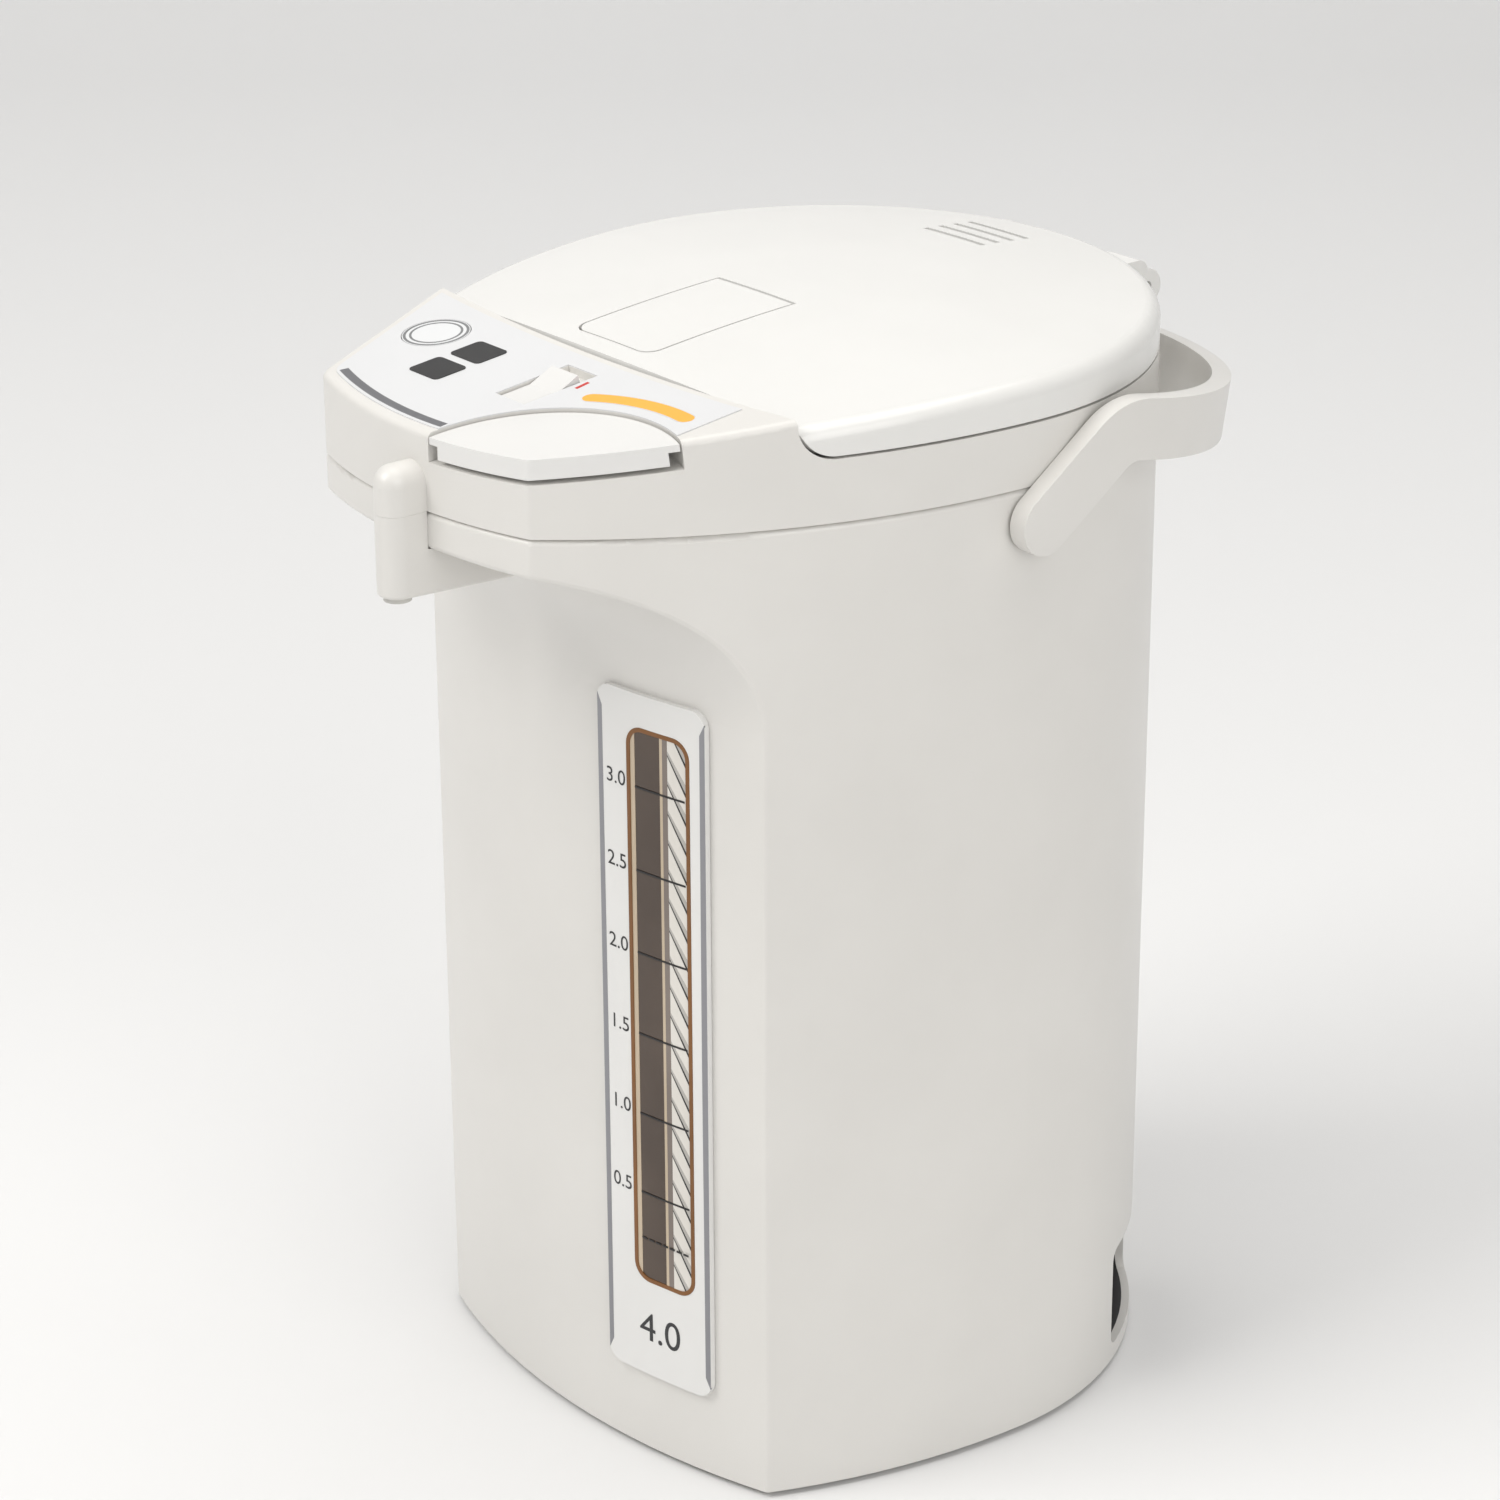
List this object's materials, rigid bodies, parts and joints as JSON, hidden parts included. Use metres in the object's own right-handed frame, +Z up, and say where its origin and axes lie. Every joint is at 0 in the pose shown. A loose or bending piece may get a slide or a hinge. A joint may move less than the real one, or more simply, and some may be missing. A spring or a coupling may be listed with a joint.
{
  "type": "electric thermo pot",
  "caption": "Upright electric water boiler and warmer with a hinged lid, swing handle, sloping control beak, fixed spout and side-lit water gauge.",
  "frame": {"origin": "on the table under the middle of the vessel, level with the soles of the feet", "axes": "+Z up, +X to the right seen from the spout side, -Y towards the user on the spout side"},
  "size_m": [0.2108, 0.2901, 0.3443],
  "materials": {
    "body_plastic": "satin warm white",
    "lid_plastic": "glossy white",
    "label_film": "satin cool white film",
    "button_plastic": "satin white",
    "key_plastic": "grey ring round a light centre",
    "indicator_film": "gloss black",
    "gauge_plastic": "white with silver edges",
    "gauge_glass": "smoked brown, clear",
    "tube_glass": "clear",
    "backing_plastic": "matt",
    "steel": "brushed",
    "pin_steel": "polished",
    "jacket_metal": "plain sheet",
    "silicone": "matt translucent white",
    "foot_rubber": "matt black",
    "inner_plastic": "matt grey white",
    "dark_plastic": "matt black",
    "contact_brass": "bright",
    "board_laminate": "solder-masked board"
  },
  "bodies": {
    "pot": {"body_shell": "body_plastic", "shoulder_cover": "body_plastic", "spout_cover": "body_plastic", "hinge_bracket": "body_plastic", "base_plate": "inner_plastic", "rubber_feet": "foot_rubber", "base_screws": "pin_steel", "nozzle_tube": "inner_plastic", "control_label": "label_film", "indicator_windows": "indicator_film", "control_board": "board_laminate", "key_switch": "board_laminate", "button_switch": "dark_plastic", "switch_carrier": "inner_plastic", "hinge_pin": "pin_steel", "handle_bushes": "inner_plastic", "gauge_panel": "gauge_plastic", "gauge_window": "gauge_glass", "sight_tube": "tube_glass", "gauge_backing": "backing_plastic", "inner_vessel": "steel", "vessel_gasket": "silicone", "heat_jacket": "jacket_metal", "heater_plate": "jacket_metal", "thermostat": "steel", "pump_motor": "steel", "pump_housing": "inner_plastic", "suction_pipe": "silicone", "riser_hose": "silicone", "delivery_hose": "silicone", "inlet_housing": "dark_plastic", "inlet_pins": "contact_brass", "power_board": "board_laminate", "transformer": "dark_plastic"},
    "lid": {"lid_cover": "lid_plastic", "lid_inner": "inner_plastic", "lid_seal": "silicone", "bolt_guide": "inner_plastic"},
    "lever": {"lid_lever": "lid_plastic"},
    "latch": {"latch_bolt": "inner_plastic"},
    "carry_handle": {"handle": "body_plastic"},
    "button": {"dispense_button": "button_plastic"},
    "slider": {"lock_slider": "button_plastic"},
    "round_key": {"reboil_key": "key_plastic"},
    "impeller": {"pump_rotor": "inner_plastic"}
  },
  "joints": [
    {"name": "lid_hinge", "type": "hinge", "parent": "pot", "child": "lid", "pos_m": [0, 0.104, 0.3275], "axis": [-1, 0, 0], "range_deg": [0, 85]},
    {"name": "handle_swing", "type": "hinge", "parent": "pot", "child": "carry_handle", "pos_m": [0, -0.007, 0.2975], "axis": [1, 0, 0], "range_deg": [0, 100]},
    {"name": "lid_lever", "type": "hinge", "parent": "lid", "child": "lever", "pos_m": [-0.004, -0.0245, 0.3415], "axis": [-1, 0, 0], "range_deg": [0, 25]},
    {"name": "latch_slide", "type": "slide", "parent": "lid", "child": "latch", "axis": [0, 1, 0], "range_m": [0, 0.004]},
    {"name": "dispense_press", "type": "slide", "parent": "pot", "child": "button", "axis": [0, 0, -1], "range_m": [0, 0.0012], "stiffness_N_per_m": 600, "springref_m": -0.001},
    {"name": "lock_slide", "type": "slide", "parent": "pot", "child": "slider", "axis": [0, 0.9938, 0.1115], "range_m": [0, 0.0046]},
    {"name": "reboil_press", "type": "slide", "parent": "pot", "child": "round_key", "axis": [0, 0, -1], "range_m": [0, 0.0005], "stiffness_N_per_m": 300, "springref_m": -0.001},
    {"name": "pump_spin", "type": "hinge", "parent": "pot", "child": "impeller", "pos_m": [0.015, -0.04, 0.03], "axis": [0, 0, 1], "continuous": true}
  ],
  "couplings": [
    {"joint": "latch_slide", "follows": "lid_lever", "m_per_rad": 0.0091673}
  ]
}
